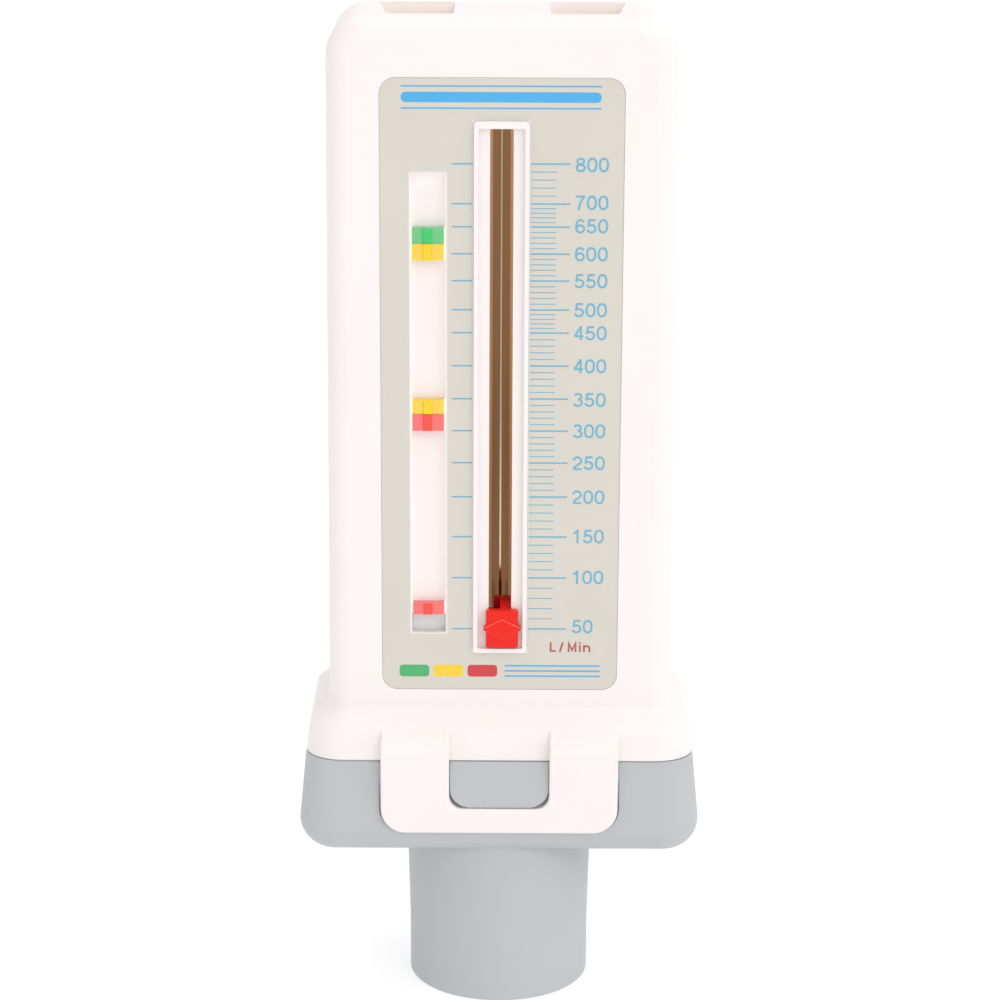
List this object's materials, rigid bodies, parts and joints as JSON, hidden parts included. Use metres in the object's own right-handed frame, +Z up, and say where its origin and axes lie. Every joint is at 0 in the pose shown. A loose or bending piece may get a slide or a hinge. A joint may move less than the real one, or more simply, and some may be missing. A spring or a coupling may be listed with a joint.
{
  "type": "peak flow meter",
  "caption": "Mechanical peak flow meter: white sleeve with printed scale, sliding red pointer and coloured zone markers, on a grey base with a round mouth tube.",
  "frame": {"origin": "centre of the mouth tube's rim plane, which the meter stands on", "axes": "+Z up along the mouth tube and the guide rod, scale facing -Y, +X to the reader's right"},
  "size_m": [0.0654, 0.037, 0.1625],
  "materials": {
    "housing_white": "satin moulded white, slightly warm",
    "scale_film": "printed film, satin",
    "rear_film": "blank film, satin",
    "grey_plastic": "satin moulded grey",
    "acetal_white": "natural acetal",
    "piston_plastic": "thin moulded plate",
    "steel_rod": "ground and polished",
    "spring_steel": "bright spring steel",
    "buffer_rubber": "soft matt rubber",
    "red_plastic": "moulded red",
    "marker_green": "moulded green, slightly translucent",
    "marker_yellow": "moulded yellow, slightly translucent",
    "marker_red": "moulded red, slightly translucent"
  },
  "bodies": {
    "frame": {"housing": "housing_white", "front_label": "scale_film", "rear_label": "rear_film", "mouthpiece_base": "grey_plastic", "mouth_tube": "grey_plastic", "rod_carrier": "acetal_white", "guide_rod": "steel_rod", "rod_lower_clip": "spring_steel", "rod_top_bush": "acetal_white", "upper_buffer": "buffer_rubber", "lower_buffer": "buffer_rubber", "return_spring": "spring_steel"},
    "piston": {"piston_plate": "piston_plastic", "piston_hub": "acetal_white", "hub_ring": "spring_steel"},
    "pointer": {"pointer_carriage": "red_plastic", "pointer_button": "red_plastic", "pointer_drag_spring": "spring_steel"},
    "upper_marker": {"upper_marker_green": "marker_green", "upper_marker_yellow": "marker_yellow"},
    "middle_marker": {"middle_marker_yellow": "marker_yellow", "middle_marker_red": "marker_red"},
    "lower_marker": {"lower_marker_red": "marker_red"}
  },
  "joints": [
    {"name": "piston_slide", "type": "slide", "parent": "frame", "child": "piston", "axis": [0, 0, 1], "range_m": [0, 0.076], "stiffness_N_per_m": 10, "springref_m": -0.03, "deforming": ["return_spring"]},
    {"name": "pointer_slide", "type": "slide", "parent": "frame", "child": "pointer", "axis": [0, 0, 1], "range_m": [0, 0.076]},
    {"name": "upper_marker_slide", "type": "slide", "parent": "frame", "child": "upper_marker", "axis": [0, 0, 1], "range_m": [-0.0108, 0.0085]},
    {"name": "middle_marker_slide", "type": "slide", "parent": "frame", "child": "middle_marker", "axis": [0, 0, 1], "range_m": [-0.0146, 0.0112]},
    {"name": "lower_marker_slide", "type": "slide", "parent": "frame", "child": "lower_marker", "axis": [0, 0, 1], "range_m": [-0.0029, 0.0135]}
  ],
  "couplings": [
    {"joint": "pointer_slide", "follows": "piston_slide", "ratio": 1}
  ]
}
